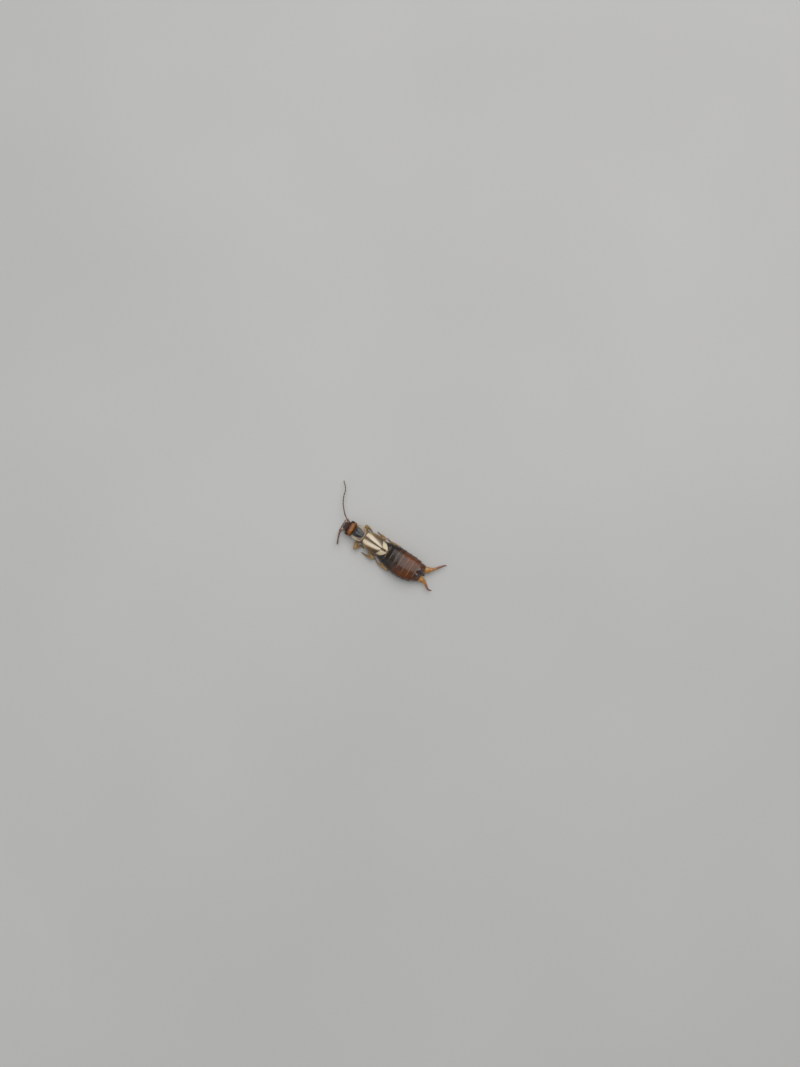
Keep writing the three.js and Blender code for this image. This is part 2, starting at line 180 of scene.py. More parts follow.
class Form:
    """Gathers one piece's points and faces. Each point carries two named values for its finish."""

    def __init__(self):
        self.points, self.faces, self.along, self.across = [], [], [], []

    def point(self, place, along=0.0, across=0.0):
        self.points.append(Vector(place))
        self.along.append(along)
        self.across.append(across)
        return len(self.points) - 1

    def tube(self, rings, alongs):
        """A closed rod through rings of points, its ends drawn to their middles."""
        count = len(rings[0])
        rows = []
        for ring, along in zip(rings, alongs):
            # The second value grows both ways round from the first point, as fast as on a back plate
            rows.append([self.point(p, along, 0.5 + min(1.73 * min(j / count, 1 - j / count), 0.5))
                         for j, p in enumerate(ring)])
        for a, b in zip(rows, rows[1:]):
            for j in range(count):
                k = (j + 1) % count
                self.faces.append((a[j], a[k], b[k], b[j]))
        for row, ring, along in ((rows[0], rings[0], alongs[0]), (rows[-1], rings[-1], alongs[-1])):
            middle = sum((Vector(p) for p in ring), Vector()) / count
            centre = self.point(middle, along, 0.5)
            for j in range(count):
                self.faces.append((row[j], row[(j + 1) % count], centre))

    def sheet(self, rows, columns, both_sides, along_of=lambda v: v):
        """A thin closed plate: both_sides(u, v) gives its upper and its lower point."""
        pairs = [[both_sides(u, v) for u in columns] for v in rows]
        top, low = ([[self.point(pair[face], along_of(v), u) for pair, u in zip(row, columns)]
                     for row, v in zip(pairs, rows)] for face in (0, 1))
        last_row, last_column = len(rows) - 1, len(columns) - 1
        for i in range(last_row):
            for j in range(last_column):
                self.faces.append((top[i][j], top[i][j + 1], top[i + 1][j + 1], top[i + 1][j]))
                self.faces.append((low[i][j], low[i + 1][j], low[i + 1][j + 1], low[i][j + 1]))
            for j in (0, last_column):
                self.faces.append((top[i][j], top[i + 1][j], low[i + 1][j], low[i][j]))
        for j in range(last_column):
            for i in (0, last_row):
                self.faces.append((top[i][j], top[i][j + 1], low[i][j + 1], low[i][j]))

    def finish(self, name, material, slot, *nodes, sharp=60):
        """Makes the piece, which then stands for the named CAD nodes."""
        mesh = bpy.data.meshes.new(name)
        mesh.from_pydata([p * MM for p in self.points], [], self.faces)
        for label, values in (("along", self.along), ("across", self.across)):
            layer = mesh.attributes.new(label, "FLOAT", "POINT")
            layer.data.foreach_set("value", values)
        body = bmesh.new()
        body.from_mesh(mesh)
        bmesh.ops.remove_doubles(body, verts=body.verts, dist=1e-8)
        bmesh.ops.dissolve_degenerate(body, edges=body.edges, dist=1e-9)
        bmesh.ops.recalc_face_normals(body, faces=body.faces)
        body.to_mesh(mesh)
        body.free()
        mesh.shade_smooth()
        mesh.set_sharp_from_angle(angle=math.radians(sharp))
        mesh.materials.append(material)
        hand_over(add_object(name, mesh), slot, *nodes)


def ring(centre, forward, up, wide, high, sides):
    """An oval of points round a centre, wide to the side and high along up."""
    up = (up - forward * up.dot(forward)).normalized()
    side = forward.cross(up)
    points = []
    for j in range(sides):
        angle = 2 * math.pi * j / sides
        points.append(centre + side * (wide * math.cos(angle)) + up * (high * math.sin(angle)))
    return points


def limb(form, start, end, radius, flat=1.0, marks=(0, 1), sides=16, count=16):
    """A rounded limb segment between two points, radius(t) thick along its length."""
    a, b = Vector(start), Vector(end)
    length = (b - a).length
    forward = (b - a) / length
    up = UP if abs(forward.dot(UP)) <= 0.95 else Vector((0, 1, 0))
    rings, alongs = [], []
    for t in crowded(count):
        near = min(t, 1 - t) * length
        thick = radius(t)
        blunt = min(near / (thick * 0.8), 1)
        thick *= math.sqrt(max(1 - (1 - blunt) ** 2, 0.0004))
        rings.append(ring(a + forward * (length * t), forward, up, thick, thick * flat, sides))
        alongs.append(mix(marks[0], marks[1], t))
    form.tube(rings, alongs)


def add_object(name, data):
    thing = bpy.data.objects.new(name, data)
    bpy.context.scene.collection.objects.link(thing)
    return thing


def hand_over(piece, slot, *nodes):
    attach(piece, "root")
    if nodes:
        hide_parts(*nodes)


def add_node(tree, kind, sources, **settings):
    """Adds a node. Each of its sources is another node's output or a plain value."""
    node = tree.nodes.new(kind)
    for name, value in settings.items():
        setattr(node, name, value)
    for socket, source in sources.items():
        if isinstance(source, bpy.types.NodeSocket):
            tree.links.new(source, node.inputs[socket])
        else:
            node.inputs[socket].default_value = source
    return node.outputs


# Materials: small node trees built from named steps

class Finish:
    def __init__(self, name, rough, coat=0.0, coat_rough=0.08, sheen=0.0, ior=1.5, subsurface=0.0):
        self.material = bpy.data.materials.new(name)
        self.material.use_nodes = True
        self.tree = self.material.node_tree
        self.sockets = self.tree.nodes["Principled BSDF"].inputs
        for socket, value in (("Roughness", rough), ("Coat Weight", coat), ("Coat Roughness", coat_rough),
                              ("Sheen Weight", sheen), ("IOR", ior), ("Subsurface Weight", subsurface),
                              ("Subsurface Radius", (0.3, 0.15, 0.08)), ("Subsurface Scale", 0.3 * MM)):
            self.sockets[socket].default_value = value
        self.place = self.add("ShaderNodeTexCoord", {})["Object"]

    def add(self, kind, sources, **settings):
        return add_node(self.tree, kind, sources, **settings)

    def value(self, name):
        return self.add("ShaderNodeAttribute", {}, attribute_name=name)["Fac"]

    def noise(self, per_mm, detail=3.0, stretch=(1, 1, 1)):
        place = self.add("ShaderNodeMapping", {"Vector": self.place, "Scale": stretch})["Vector"]
        return self.add("ShaderNodeTexNoise", {"Vector": place, "Scale": per_mm / MM, "Detail": detail,
                                               "Roughness": 0.55})["Fac"]

    def cells(self, per_mm):
        return self.add("ShaderNodeTexVoronoi", {"Vector": self.place, "Scale": per_mm / MM})["Distance"]

    def length_mm(self):
        """The place along the body, in millimetres."""
        return self.math("DIVIDE", self.add("ShaderNodeSeparateXYZ", {0: self.place})["Y"], MM)

    def math(self, operation, a, b=0.0):
        return self.add("ShaderNodeMath", {0: a, 1: b}, operation=operation)[0]

    def product(self, first, *others):
        for other in others:
            first = self.math("MULTIPLY", first, other)
        return first

    def sway(self, source, noise, reach):
        """The source moved by a noise, up to half the reach either way."""
        return self.math("ADD", source, self.product(self.math("SUBTRACT", noise, 0.5), reach))

    def distance(self, source, middle):
        return self.math("ABSOLUTE", self.math("SUBTRACT", source, middle))

    def spread(self, source, low, high, to_low=0.0, to_high=1.0):
        """The source value from low to high, eased to a new range and held at its ends."""
        return self.add("ShaderNodeMapRange", {0: source, 1: low, 2: high, 3: to_low, 4: to_high},
                        interpolation_type="SMOOTHSTEP")[0]

    def ramp(self, source, stops):
        node = self.tree.nodes.new("ShaderNodeValToRGB")
        elements = node.color_ramp.elements
        for k, (place, colour) in enumerate(stops):
            element = elements[k] if k < 2 else elements.new(place)
            element.position = place
            element.color = (*colour, 1)
        self.tree.links.new(source, node.inputs["Fac"])
        return node.outputs["Color"]

    def blend(self, amount, a, b):
        a, b = ((*c, 1) if isinstance(c, tuple) else c for c in (a, b))
        return self.add("ShaderNodeMix", {0: amount, 6: a, 7: b}, data_type="RGBA")[2]

    def colour(self, source):
        self.tree.links.new(source, self.sockets["Base Color"])

    def rough(self, source, low, high):
        self.tree.links.new(self.spread(source, 0.25, 0.75, low, high), self.sockets["Roughness"])

    def relief(self, *layers):
        """Bump layers, each (height, strength, depth in millimetres)."""
        below = {}
        for height, strength, depth in layers:
            sources = {"Height": height, "Strength": strength, "Distance": depth * MM, **below}
            below = {"Normal": self.add("ShaderNodeBump", sources)["Normal"]}
        self.tree.links.new(below["Normal"], self.sockets["Normal"])


def head_finish():
    f = Finish("chestnut_head_shell", 0.32, coat=0.2, coat_rough=0.12, ior=1.42)
    mottle = f.noise(3.2, 4)
    place = f.spread(f.sway(f.length_mm(), mottle, 0.5), -8.75, -7.3)
    # The dark stops at the front are painted shade over the face between the feelers' roots; the orange crown
    # behind them is the head's own colour.
    bands = f.ramp(place, [(0.0, (0.05, 0.014, 0.006)), (0.14, (0.014, 0.006, 0.004)),
                           (0.34, (0.03, 0.009, 0.005)), (0.48, (0.27, 0.082, 0.008)),
                           (0.8, (0.33, 0.108, 0.01)), (1.0, (0.05, 0.014, 0.007))])
    cloud = f.spread(f.noise(1.6, 2), 0.4, 0.7)
    f.colour(f.blend(f.product(cloud, 0.5), bands, (0.1, 0.024, 0.008)))
    f.rough(mottle, 0.24, 0.38)
    pits = f.spread(f.cells(9), 0.05, 0.28)
    f.relief((f.noise(5, 4), 0.4, 0.02), (pits, 0.45, 0.008), (f.noise(40, 2), 0.4, 0.003))
    return f.material


def eye_finish():
    f = Finish("faceted_eye", 0.18, coat=0.6, coat_rough=0.05)
    f.colour(f.ramp(f.noise(6, 2), [(0.35, (0.006, 0.004, 0.004)), (0.7, (0.03, 0.016, 0.012))]))
    f.relief((f.cells(30), 0.6, 0.006))
    return f.material


def jaw_finish():
    f = Finish("amber_jaws", 0.34, coat=0.3)
    base = f.ramp(f.value("along"), [(0.0, (0.3, 0.12, 0.035)), (0.33, (0.14, 0.045, 0.014)),
                                     (0.6, (0.06, 0.018, 0.008)), (1.0, (0.02, 0.008, 0.005))])
    f.colour(f.blend(f.spread(f.noise(5, 3), 0.35, 0.8), base, (0.05, 0.016, 0.008)))
    f.relief((f.noise(12, 3), 0.3, 0.006))
    return f.material


def feeler_finish():
    f = Finish("brown_feeler", 0.5, coat=0.1, sheen=0.2)
    bead = f.value("across")
    base = f.ramp(f.value("along"), [(0.0, (0.26, 0.12, 0.045)), (0.15, (0.15, 0.066, 0.032)),
                                     (0.7, (0.12, 0.055, 0.03)), (1.0, (0.15, 0.065, 0.032))])
    ends = f.math("MAXIMUM", f.spread(bead, 0.22, 0.02), f.spread(bead, 0.9, 1.0))
    f.colour(f.blend(f.product(ends, 0.6), base, (0.28, 0.16, 0.08)))
    f.relief((f.noise(24, 2), 0.5, 0.006))
    return f.material


def shield_finish():
    f = Finish("pronotum_shell", 0.26, coat=0.5, coat_rough=0.16, subsurface=0.12)
    across, along = f.value("across"), f.value("along")
    # The dark disc is a squared oval that meets the front edge; pale horn surrounds it
    half_width = f.math("SUBTRACT", 0.34, f.product(along, 0.09))
    side = f.math("DIVIDE", f.distance(across, 0.5), half_width)
    length = f.math("DIVIDE", f.distance(along, 0.3), 0.58)
    reach = f.math("ADD", f.math("POWER", side, 2.4), f.math("POWER", length, 2.6))
    edge = f.spread(f.sway(reach, f.noise(2.6, 3), 0.3), 0.72, 1.3)
    margin = f.ramp(along, [(0.0, (0.26, 0.19, 0.12)), (0.45, (0.42, 0.34, 0.24)), (0.82, (0.22, 0.16, 0.1)),
                            (0.92, (0.48, 0.39, 0.27)), (1.0, (0.1, 0.06, 0.03))])
    centre = f.ramp(along, [(0.0, (0.03, 0.015, 0.01)), (0.2, (0.01, 0.01, 0.012)),
                            (0.8, (0.012, 0.012, 0.014))])
    f.colour(f.blend(edge, centre, margin))
    f.rough(f.noise(4, 2), 0.22, 0.36)
    pits = f.spread(f.cells(8), 0.05, 0.26)
    f.relief((f.noise(4, 4), 0.5, 0.03), (pits, 0.4, 0.008), (f.noise(36, 2), 0.4, 0.003))
    return f.material


def wing_cover_finish():
    """Straw wing cover: a pale band that runs inwards to the rear, partly the cover's own colour and partly a
    painted highlight, bronze outside it, dark seam.
    """
    f = Finish("straw_wing_cover", 0.3, coat=0.5, coat_rough=0.14, subsurface=0.08)
    across, along = f.value("across"), f.value("along")
    place = f.sway(across, f.noise(2.2, 3, stretch=(1, 0.35, 1)), 0.1)
    inner = f.math("SUBTRACT", place, f.math("SUBTRACT", 0.23, f.product(along, 0.16)))
    narrowing = f.product(f.math("POWER", along, 1.4), 0.4)
    outer = f.math("SUBTRACT", f.math("SUBTRACT", 0.64, narrowing), place)
    # The pale band is partly the cover's straw colour and partly a painted highlight of the lamp on each
    # cover's crown.
    pale = f.product(f.spread(inner, -0.09, 0.06), f.spread(outer, -0.14, 0.14))
    shoulder = f.ramp(along, [(0.0, (0.32, 0.2, 0.07)), (0.4, (0.19, 0.1, 0.024)),
                              (1.0, (0.08, 0.034, 0.008))])
    ground = f.ramp(across, [(0.0, (0.09, 0.06, 0.033)), (0.05, (0.23, 0.165, 0.095)),
                             (0.3, (0.3, 0.205, 0.11))])
    ground = f.blend(f.spread(across, 0.2, 0.5), ground, shoulder)
    body = f.blend(pale, ground, (0.8, 0.68, 0.5))
    corner = f.spread(f.math("ADD", along, f.product(across, 0.3)), 0.92, 1.12, 0.0, 0.85)
    f.colour(f.blend(corner, body, (0.085, 0.048, 0.02)))
    f.rough(f.noise(5, 2), 0.24, 0.4)
    pits = f.spread(f.cells(10), 0.04, 0.26)
    grain = f.noise(9, 4, stretch=(1, 0.3, 1))
    f.relief((f.noise(3, 3, stretch=(1, 0.4, 1)), 0.4, 0.03), (grain, 0.4, 0.012), (pits, 0.4, 0.008))
    return f.material


def wing_tip_finish():
    f = Finish("cream_wing_tip", 0.36, coat=0.3, coat_rough=0.2, subsurface=0.2)
    across, along = f.value("across"), f.value("along")
    veins = f.spread(f.noise(5, 3, stretch=(1, 0.25, 1)), 0.45, 0.75)
    cream = f.ramp(along, [(0.0, (0.4, 0.27, 0.12)), (0.25, (0.78, 0.67, 0.44)), (0.85, (0.82, 0.72, 0.5)),
                           (1.0, (0.36, 0.24, 0.12))])
    inner = f.product(f.spread(across, 0.3, 0.08), f.spread(along, 0.98, 0.7))
    outer = f.spread(across, 0.84, 1.0, 0.0, 0.7)
    body = f.blend(f.product(veins, 0.25), cream, (0.5, 0.38, 0.2))
    body = f.blend(outer, body, (0.2, 0.12, 0.05))
    f.colour(f.blend(inner, body, (0.12, 0.065, 0.03)))
    f.relief((f.noise(8, 3, stretch=(1, 0.3, 1)), 0.35, 0.01))
    return f.material


def skin_finish():
    f = Finish("body_skin", 0.55, coat=0.1, subsurface=0.15)
    base = f.ramp(f.spread(f.length_mm(), -7.6, -2.4), [(0.0, (0.34, 0.2, 0.09)), (0.55, (0.26, 0.14, 0.055)),
                                                        (1.0, (0.06, 0.025, 0.014))])
    f.colour(f.blend(f.spread(f.noise(3, 4), 0.3, 0.8), base, (0.16, 0.08, 0.035)))
    f.relief((f.noise(5, 4, stretch=(1, 2.5, 1)), 0.5, 0.03), (f.noise(22, 2), 0.4, 0.006))
    return f.material


def abdomen_finish(name, rim_highlight, gloss=0.4, gloss_rough=0.18):
    """Polished shell, black-brown in front and mahogany behind, each plate's rear edge paler through a
    painted highlight along the middle, the flanks darkened by painted shade.
    """
    f = Finish(name, 0.24, coat=gloss, coat_rough=gloss_rough, ior=1.42)
    y = f.length_mm()
    base = f.ramp(f.spread(f.sway(y, f.noise(1.7, 4), 1.1), -2.6, 3.3),
                  [(0.0, (0.01, 0.006, 0.005)), (0.26, (0.014, 0.007, 0.005)), (0.46, (0.066, 0.015, 0.003)),
                   (0.8, (0.11, 0.026, 0.003)), (1.0, (0.03, 0.009, 0.006))])
    ridge = f.distance(f.value("across"), 0.5)
    glow = f.product(f.spread(ridge, 0.06, 0.18), f.spread(ridge, 0.36, 0.24), f.spread(y, -1.6, 0.2),
                     f.spread(f.noise(2.4, 3), 0.3, 0.62), 0.5)
    body = f.blend(glow, base, (0.22, 0.062, 0.004))
    # Painted shade: the flanks darken to near black where they turn down away from the light.
    body = f.blend(f.spread(ridge, 0.27, 0.42, 0.0, 0.85), body, (0.012, 0.006, 0.005))
    # Painted highlight: each plate's pale rear edge shows mostly along the middle, where the lamp's sheen
    # lies.
    edge = f.product(f.spread(f.value("along"), 0.8, 0.97, 0.0, rim_highlight),
                     f.spread(ridge, 0.26, 0.08, 0.12, 1.0), f.spread(f.noise(0.9, 2), 0.36, 0.6, 0.35, 1.0))
    f.colour(f.blend(edge, body, (0.34, 0.21, 0.1)))
    f.rough(f.noise(6, 3), 0.2, 0.36)
    punctures = f.spread(f.cells(11), 0.12, 0.4)
    f.relief((f.noise(4, 3), 0.3, 0.016), (punctures, 0.45, 0.01), (f.noise(34, 2), 0.4, 0.003))
    return f.material


def forceps_finish():
    f = Finish("amber_forceps", 0.26, coat=0.5, coat_rough=0.12, subsurface=0.1)
    base = f.ramp(f.value("along"), [(0.0, (0.2, 0.085, 0.02)), (0.12, (0.52, 0.25, 0.05)),
                                     (0.42, (0.5, 0.22, 0.045)), (0.62, (0.28, 0.085, 0.02)),
                                     (0.9, (0.15, 0.035, 0.012)), (1.0, (0.06, 0.014, 0.008))])
    f.colour(f.blend(f.spread(f.noise(4, 3), 0.42, 0.8), base, (0.2, 0.06, 0.016)))
    f.relief((f.noise(9, 3), 0.25, 0.01), (f.cells(20), 0.2, 0.004))
    return f.material


def leg_finish():
    f = Finish("ochre_leg", 0.36, coat=0.25, coat_rough=0.2, subsurface=0.12)
    ochre, shade = (0.4, 0.24, 0.08), (0.2, 0.1, 0.035)
    base = f.ramp(f.value("along"), [(0.0, shade), (0.12, ochre), (0.45, (0.38, 0.22, 0.07)),
                                     (0.5, (0.2, 0.1, 0.03)), (0.56, ochre), (0.8, (0.34, 0.19, 0.06)),
                                     (1.0, shade)])
    f.colour(f.blend(f.spread(f.noise(4, 3), 0.4, 0.85), base, shade))
    f.rough(f.noise(8, 2), 0.3, 0.46)
    f.relief((f.noise(14, 3), 0.35, 0.008))
    return f.material


def plain_finish(name, low, high, rough, per_mm=8):
    f = Finish(name, rough, coat=0.1)
    f.colour(f.ramp(f.noise(per_mm, 3), [(0.3, low), (0.7, high)]))
    f.relief((f.noise(per_mm * 2, 2), 0.3, 0.005))
    return f.material


HEAD_SHELL = head_finish()
EYE = eye_finish()
JAWS = jaw_finish()
FEELER = feeler_finish()
SHIELD = shield_finish()
WING_COVER = wing_cover_finish()
WING_TIP = wing_tip_finish()
SKIN = skin_finish()
CHEST_PLATE = plain_finish("thorax_side_plate", (0.11, 0.05, 0.018), (0.3, 0.16, 0.06), 0.32, 2.2)
BACK_PLATE = abdomen_finish("mahogany_back_plates", 0.75)
BELLY_PLATE = abdomen_finish("mahogany_belly_plates", 0.4)
TAIL_PLATE = abdomen_finish("polished_last_plate", 0.0, gloss=1.0, gloss_rough=0.05)
FORCEPS = forceps_finish()
LEG = leg_finish()
CLAW = plain_finish("claw", (0.05, 0.02, 0.01), (0.1, 0.04, 0.016), 0.3)
HAIR = plain_finish("golden_hair", (0.3, 0.18, 0.08), (0.42, 0.28, 0.13), 0.45)


# Body sections: squared ovals that bulge up and down from their widest line

class Section:
    def __init__(self, half, top, base, waist, square, low_square):
        self.half, self.top, self.base, self.waist = map(profile, (half, top, base, waist))
        self.square, self.low_square = square, low_square

    def point(self, y, angle, lift=0.0):
        """The surface point at a place along the body, angle 0 on the back and 180 degrees below."""
        s, c = math.sin(angle), math.cos(angle)
        power = self.square if c >= 0 else self.low_square
        x = spine_x(y) + (self.half(y) + lift) * math.copysign(abs(s) ** (2 / power), s)
        middle = self.waist(y)
        reach = self.top(y) - middle if c >= 0 else middle - self.base(y)
        z = middle + math.copysign((reach + lift) * abs(c) ** (2 / power), c)
        return Vector((x, y, max(z, 0.0)))

    def rings(self, places, sides, lift_of):
        """Rings round the body, raised by lift_of(x, y, angle) with x from the middle line."""
        rows = []
        for y in places:
            row = []
            for angle in spaced(0, 2 * math.pi, sides)[:-1]:
                x = self.point(y, angle).x - spine_x(y)
                row.append(self.point(y, angle, lift_of(x, y, angle)))
            rows.append(row)
        return rows


HEAD = Section(
    half=[(HEAD_FRONT, 0.3), (-8.62, 0.46), (-8.45, 0.66), (-8.2, 0.9), (-7.95, 1.0), (-7.7, 0.98),
          (-7.5, 0.86), (-7.36, 0.6), (HEAD_REAR, 0.34)],
    top=[(HEAD_FRONT, 1.02), (-8.55, 1.18), (-8.35, 1.32), (-8.0, 1.44), (-7.7, 1.42), (-7.45, 1.3),
         (HEAD_REAR, 1.1)],
    base=[(HEAD_FRONT, 0.86), (-8.4, 0.78), (-8.0, 0.56), (-7.7, 0.5), (-7.4, 0.6), (HEAD_REAR, 0.76)],
    waist=[(HEAD_FRONT, 0.94), (-8.1, 0.94), (HEAD_REAR, 0.9)],
    square=2.3, low_square=2.6)
BODY = Section(
    half=[(NECK, 0.34), (-7.3, 0.42), (-7.0, 0.6), (-6.5, 0.84), (-5.8, 0.86), (-5.0, 1.04), (-3.6, 1.1),
          (-2.6, 1.18), (-1.45, 1.46), (0.0, 1.66), (1.0, 1.64), (1.85, 1.5), (SKIN_REAR, 1.1)],
    top=[(NECK, 1.1), (-7.2, 1.14), (-6.9, 1.36), (-5.9, 1.42), (-5.4, 1.66), (-4.2, 1.78), (-3.3, 1.64),
         (-2.9, 1.36), (-2.2, 1.48), (-1.2, 1.76), (0.2, 1.94), (1.2, 1.88), (2.3, 1.62), (SKIN_REAR, 1.3)],
    base=[(NECK, 0.66), (-7.2, 0.6), (-6.5, 0.36), (-5.0, 0.26), (-3.2, 0.2), (-2.0, 0.17), (1.5, 0.16),
          (2.2, 0.3), (SKIN_REAR, 0.5)],
    waist=[(NECK, 0.88), (-6.0, 0.78), (-3, 0.82), (0, 0.82)],
    square=2.5, low_square=2.6)
ABDOMEN = Section(
    half=[(-3.1, 1.16), (-2.6, 1.32), (-2.1, 1.44), (-1.45, 1.57), (-0.13, 1.75), (1.0, 1.73), (1.85, 1.6),
          (2.4, 1.46), (3.0, 1.22)],
    top=[(-3.1, 1.42), (-2.1, 1.61), (-1.7, 1.73), (-1.2, 1.87), (0.2, 2.04), (1.2, 1.98), (2.3, 1.74),
         (3.0, 1.4)],
    base=[(-3.1, 0.24), (-2.4, 0.1), (-1.4, 0.076), (1.5, 0.076), (2.2, 0.2), (3.0, 0.42)],
    waist=[(-2.9, 0.6), (-1.4, 0.85), (3.0, 0.8)],
    square=2.1, low_square=3.0)
LAST_TERGITE = Section(
    half=[(LAST_TERGITE_FRONT, 1.44), (2.6, 1.36), (2.95, 1.26), (3.12, 1.16), (LAST_TERGITE_REAR, 0.98)],
    top=[(LAST_TERGITE_FRONT, 1.74), (2.5, 1.66), (2.85, 1.48), (3.1, 1.26), (LAST_TERGITE_REAR, 1.06)],
    base=[(LAST_TERGITE_FRONT, 0.2), (2.7, 0.26), (3.0, 0.38), (LAST_TERGITE_REAR, 0.6)],
    waist=[(LAST_TERGITE_FRONT, 0.8), (LAST_TERGITE_REAR, 0.8)],
    square=2.4, low_square=2.6)


def plate_ring(form, start, end, overlap, middle, half_turn, thick, columns, rows, swell=None):
    """One overlapping plate of the abdomen, bent half_turn to each side of the back or belly."""
    front = start - overlap
    rim = 0.93

    def shown(v):
        return (mix(front, end, v) - start) / (end - start)

    def both_sides(u, v):
        side = 2 * u - 1
        y, angle = mix(front, end, v), middle + half_turn * side
        lift = PLATE_STEP * max(shown(v), -0.4) - 0.012 * bump(shown(v) - 0.3, 0.16)
        # The rear rim is rounded off
        fullness = math.sqrt(max(1 - (max(v - rim, 0) / (1 - rim)) ** 2, 0))
        lift -= 0.5 * thick * (1 - fullness)
        raised = lift + swell(shown(v), side) if swell else lift
        return ABDOMEN.point(y, angle, raised), ABDOMEN.point(y, angle, lift - thick * fullness - 0.002)

    places = spaced(0, rim, rows) + [mix(rim, 1.0, r) for r in (0.35, 0.7, 0.9, 1.0)]
    form.sheet(places, spaced(0, 1, columns), both_sides, lambda v: clamp(shown(v)))


def gland_folds(shown, side):
    return 0.05 * bump(shown - 0.55, 0.22) * bump(abs(side) - 0.62, 0.07)


def abdomen_plates():
    back, belly = Form(), Form()
    start = ABDOMEN_FRONT
    for k, end in enumerate(TERGITE_EDGES):
        swell = gland_folds if k in GLAND_TERGITES else None
        plate_ring(back, start, end, 0.2, 0.0, BACK_HALF_TURN, thick=0.05, columns=64, rows=14, swell=swell)
        if k > 0:
            plate_ring(belly, start - BELLY_SHIFT, end - BELLY_SHIFT, 0.16, math.pi, BELLY_HALF_TURN,
                       thick=0.04, columns=40, rows=8)
        start = end
    back.finish("abdomen_back_plates", BACK_PLATE, "abdomen_shell", "abdomen")
    belly.finish("abdomen_belly_plates", BELLY_PLATE, "abdomen_shell")


CREASES = (-6.95, -5.45, -4.2, -3.0)


def body_skin():
    """The soft skin from the neck through the thorax and on inside the abdomen's plates."""
    def lift(x, y, angle):
        # The skin swells between the creases that part each chest plate from the next
        crease = sum(bump(y - at, 0.07) for at in CREASES)
        below = max(-math.cos(angle), 0)
        pleat = 0.014 * math.sin(y * 26) * math.sin(angle) ** 4 if y > -2.6 else 0.0
        pleat += 0.022 * math.sin(y * 44) * bump(y + 7.2, 0.22)
        return pleat - 0.05 * crease * (0.35 + 0.65 * below)

    form = Form()
    form.tube(BODY.rings(spaced(NECK, SKIN_REAR, 150), 72, lift), [0.5] * 151)
    form.finish("body_skin", SKIN, "thorax", "thorax")


# Two side plates for each pair of legs: front, rear, and upper and lower angle from the back in degrees
SIDE_PLATES = [(-6.9, -6.34, 62, 116), (-6.28, -5.62, 58, 108), (-5.4, -4.86, 60, 124),
               (-4.8, -4.26, 58, 116), (-4.16, -3.62, 60, 124), (-3.56, -3.02, 58, 112)]
# One breast plate between each pair of legs: front, rear and half width
BREAST_PLATES = [(-6.85, -5.6, 0.34), (-5.35, -4.3, 0.42), (-4.1, -3.05, 0.5)]


def chest_plates():
    form = Form()
    for side in (-1, 1):
        for front, rear, high, low in SIDE_PLATES:
            def side_plate(u, v):
                # Each one slants back as it goes down
                y = mix(front, rear, v) + 0.16 * (u - 0.4)
                angle = side * math.radians(mix(high, low, u))
                dome = max((1 - abs(2 * v - 1) ** 5) * (1 - abs(2 * u - 1) ** 5), 0) ** 0.45
                ridge = 0.018 * bump(u - 0.25 - 0.5 * v, 0.07)
                return BODY.point(y, angle, (0.055 + ridge) * dome - 0.012), BODY.point(y, angle, -0.05)
            form.sheet(spaced(0, 1, 14), spaced(0, 1, 20), side_plate)
    for front, rear, wide in BREAST_PLATES:
        def breast_plate(u, v):
            side = 2 * u - 1
            y = mix(front, rear, v)
            x = spine_x(y) + wide * (0.62 + 0.38 * math.sin(math.pi * (0.15 + 0.75 * v))) * side
            dome = (1 - side ** 6) * math.sin(math.pi * v) ** 0.4 - 0.4 * bump(side, 0.12)
            return Vector((x, y, max(BODY.base(y) - 0.07 * dome, 0.02))), Vector((x, y, BODY.base(y) + 0.08))
        form.sheet(spaced(0, 1, 12), spaced(0, 1, 16), breast_plate)
    form.finish("thorax_side_plates", CHEST_PLATE, "thorax")


def head():
    def lift(x, y, angle):
        up = max(math.cos(angle), 0) ** 0.5
        # Y-shaped seam: one stem on the crown that forks towards the feelers
        seam = bump(x, 0.022) if y > -8.0 else bump(abs(x) - (-8.0 - y) * 1.15, 0.03)
        swell = 0.05 * bump(abs(x) - 0.42, 0.26) * bump(y + 7.78, 0.24)
        swell += 0.035 * bump(x, 0.34) * bump(y + 8.32, 0.16)
        crease = 0.03 * bump(y + 8.52 - 0.12 * x * x, 0.03)
        cheek = 0.03 * bump(abs(x) - 0.98, 0.1) * bump(y + 7.68, 0.16)
        return (swell - 0.024 * seam - crease) * up + cheek

    marks = crowded(110)
    form = Form()
    form.tube(HEAD.rings([mix(HEAD_FRONT, HEAD_REAR, t) for t in marks], 128, lift), marks)
    # Raised rings round the feelers' sockets
    x, y, z = SOCKET_PLACE
    for side in (-1, 1):
        centre = Vector((spine_x(y) + side * x, y, z))
        outward = Vector((side * 0.55, -0.8, 0.25)).normalized()
        collar = []
        for t in spaced(0, 1, 12):
            wide = SOCKET_RADIUS + 0.035 * math.sin(math.pi * t)
            collar.append(ring(centre + outward * (0.16 * t - 0.05), outward, UP, wide, wide, 20))
        form.tube(collar, [0.2] * 13)
    form.finish("head_shell", HEAD_SHELL, "head_shell", "head")


